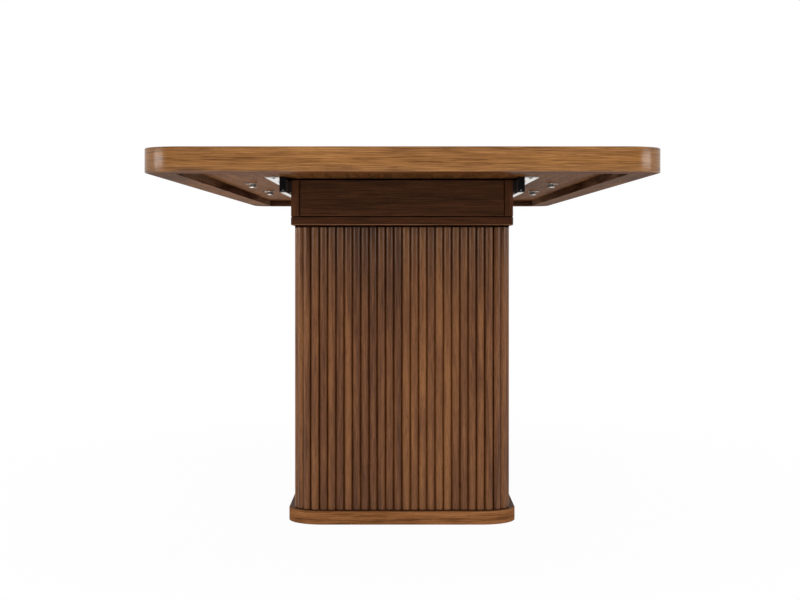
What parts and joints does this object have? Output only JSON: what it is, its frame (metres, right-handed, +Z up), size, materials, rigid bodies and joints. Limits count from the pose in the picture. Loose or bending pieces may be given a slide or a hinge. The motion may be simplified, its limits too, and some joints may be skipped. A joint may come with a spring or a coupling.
{
  "type": "extending dining table",
  "caption": "Extending dining table: rounded rectangular top in sliding halves on telescopic slides, folded leaf stored in an apron box, and a half-round slatted pedestal on a plinth.",
  "frame": {"origin": "on the floor, under the middle of the table", "axes": "+X across the table's width, +Y along its length from the front end to the rear end, +Z up"},
  "size_m": [0.9, 2.2, 0.76],
  "materials": {
    "top_walnut": "satin lacquered walnut veneer",
    "underside_walnut": "matt lacquered walnut veneer",
    "dark_walnut": "dark stained walnut veneer",
    "slat_walnut": "satin lacquered half-round walnut slats",
    "plinth_walnut": "satin lacquered walnut veneer",
    "fibreboard": "raw fibreboard",
    "zinc_steel": "bright zinc plated sheet steel",
    "black_steel": "black coated rolled steel",
    "beech": "raw beech dowel",
    "black_plastic": "moulded matt plastic",
    "brass": "satin brass"
  },
  "bodies": {
    "base": {"plinth": "plinth_walnut", "glide_front_left": "black_plastic", "glide_front_right": "black_plastic", "glide_rear_left": "black_plastic", "glide_rear_right": "black_plastic", "carcass_left": "fibreboard", "carcass_right": "fibreboard", "carcass_front": "fibreboard", "carcass_rear": "fibreboard", "carcass_divider": "fibreboard", "slats_left": "slat_walnut", "slats_right": "slat_walnut", "slats_front": "slat_walnut", "slats_rear": "slat_walnut", "corner_slats_front_left": "slat_walnut", "corner_slats_front_right": "slat_walnut", "corner_slats_rear_left": "slat_walnut", "corner_slats_rear_right": "slat_walnut", "cap_plate": "dark_walnut", "box_side_left": "dark_walnut", "box_side_right": "dark_walnut", "box_end_front": "dark_walnut", "box_end_rear": "dark_walnut", "leaf_panel_lower": "top_walnut", "leaf_panel_upper": "top_walnut", "leaf_hinge_left": "brass", "leaf_hinge_right": "brass", "fixed_rail_left": "black_steel", "fixed_rail_right": "black_steel"},
    "front_mid": {"front_mid_rail_left": "black_steel", "front_mid_rail_right": "black_steel"},
    "rear_mid": {"rear_mid_rail_left": "black_steel", "rear_mid_rail_right": "black_steel"},
    "front_top": {"front_top_panel": "top_walnut", "front_sub_panel": "underside_walnut", "front_edge_band": "top_walnut", "front_border_left": "underside_walnut", "front_border_right": "underside_walnut", "front_border_end": "underside_walnut", "front_bracket_left": "zinc_steel", "front_bracket_right": "zinc_steel", "front_runner_rail_left": "black_steel", "front_runner_rail_right": "black_steel", "front_bolt_left": "zinc_steel", "front_bolt_right": "zinc_steel", "seam_dowel_left": "beech", "seam_dowel_right": "beech"},
    "rear_top": {"rear_top_panel": "top_walnut", "rear_sub_panel": "underside_walnut", "rear_edge_band": "top_walnut", "rear_border_left": "underside_walnut", "rear_border_right": "underside_walnut", "rear_border_end": "underside_walnut", "rear_bracket_left": "zinc_steel", "rear_bracket_right": "zinc_steel", "rear_runner_rail_left": "black_steel", "rear_runner_rail_right": "black_steel", "rear_bolt_left": "zinc_steel", "rear_bolt_right": "zinc_steel"}
  },
  "joints": [
    {"name": "front_slide", "type": "slide", "parent": "base", "child": "front_top", "axis": [0, -1, 0], "range_m": [0, 0.24]},
    {"name": "rear_slide", "type": "slide", "parent": "base", "child": "rear_top", "axis": [0, 1, 0], "range_m": [0, 0.24]},
    {"name": "front_mid_slide", "type": "slide", "parent": "base", "child": "front_mid", "axis": [0, -1, 0], "range_m": [0, 0.12]},
    {"name": "rear_mid_slide", "type": "slide", "parent": "base", "child": "rear_mid", "axis": [0, 1, 0], "range_m": [0, 0.12]}
  ],
  "couplings": [
    {"joint": "front_mid_slide", "follows": "front_slide", "ratio": 0.5},
    {"joint": "rear_mid_slide", "follows": "rear_slide", "ratio": 0.5}
  ]
}
